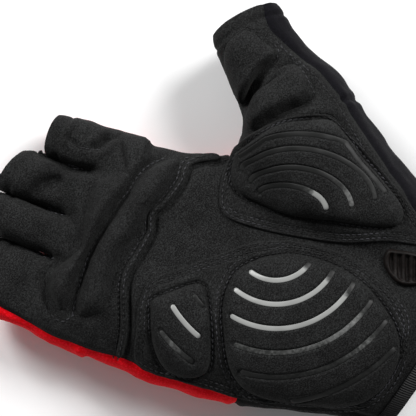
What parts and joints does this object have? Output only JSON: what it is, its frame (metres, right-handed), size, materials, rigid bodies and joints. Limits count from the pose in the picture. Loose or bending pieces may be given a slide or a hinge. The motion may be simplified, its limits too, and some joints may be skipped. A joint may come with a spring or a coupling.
{
  "type": "cycling glove",
  "caption": "Right-hand fingerless cycling glove lying palm up, hollow and hand-shaped, with gel pads, foam rolls, silver grip stripes and an elastic wrist.",
  "frame": {"origin": "under the middle of the glove's box, on the surface that its back lies on", "axes": "+X towards the thumb's side, +Y towards the fingertips, +Z out of the palm, up"},
  "size_m": [0.1548, 0.1932, 0.0478],
  "materials": {
    "suede": "napped black synthetic suede",
    "knit": "red stretch knit",
    "stretch": "smooth navy-black elastane",
    "mesh": "dark grey mesh",
    "print": "glossy silver-grey silicone print",
    "elastic": "fine ribbed elastic",
    "rubber": "ribbed brownish-black rubber"
  },
  "bodies": {
    "root": {"palm_panel": "suede", "finger_panel": "suede", "thumb_panel": "suede", "cuff_panel": "suede", "thenar_patch": "suede", "heel_patch": "suede", "thenar_gel_pad": "suede", "heel_gel_pad": "suede", "edge_gel_pad": "suede", "upper_knuckle_roll": "suede", "lower_knuckle_roll": "suede", "knuckle_hem": "suede", "thumb_tip_pad": "suede", "thumb_base_pad": "suede", "back_panel": "knit", "side_panel": "stretch", "gusset_index_middle": "mesh", "gusset_middle_ring": "mesh", "gusset_ring_little": "mesh", "heel_stripe_1": "print", "heel_stripe_2": "print", "heel_stripe_3": "print", "heel_stripe_4": "print", "heel_stripe_5": "print", "heel_stripe_6": "print", "edge_stripe_1": "print", "edge_stripe_2": "print", "edge_stripe_3": "print", "thenar_stripe_1": "print", "thenar_stripe_2": "print", "thenar_stripe_3": "print", "thenar_stripe_4": "print", "wrist_binding": "elastic", "grip_tab": "rubber"}
  },
  "joints": []
}
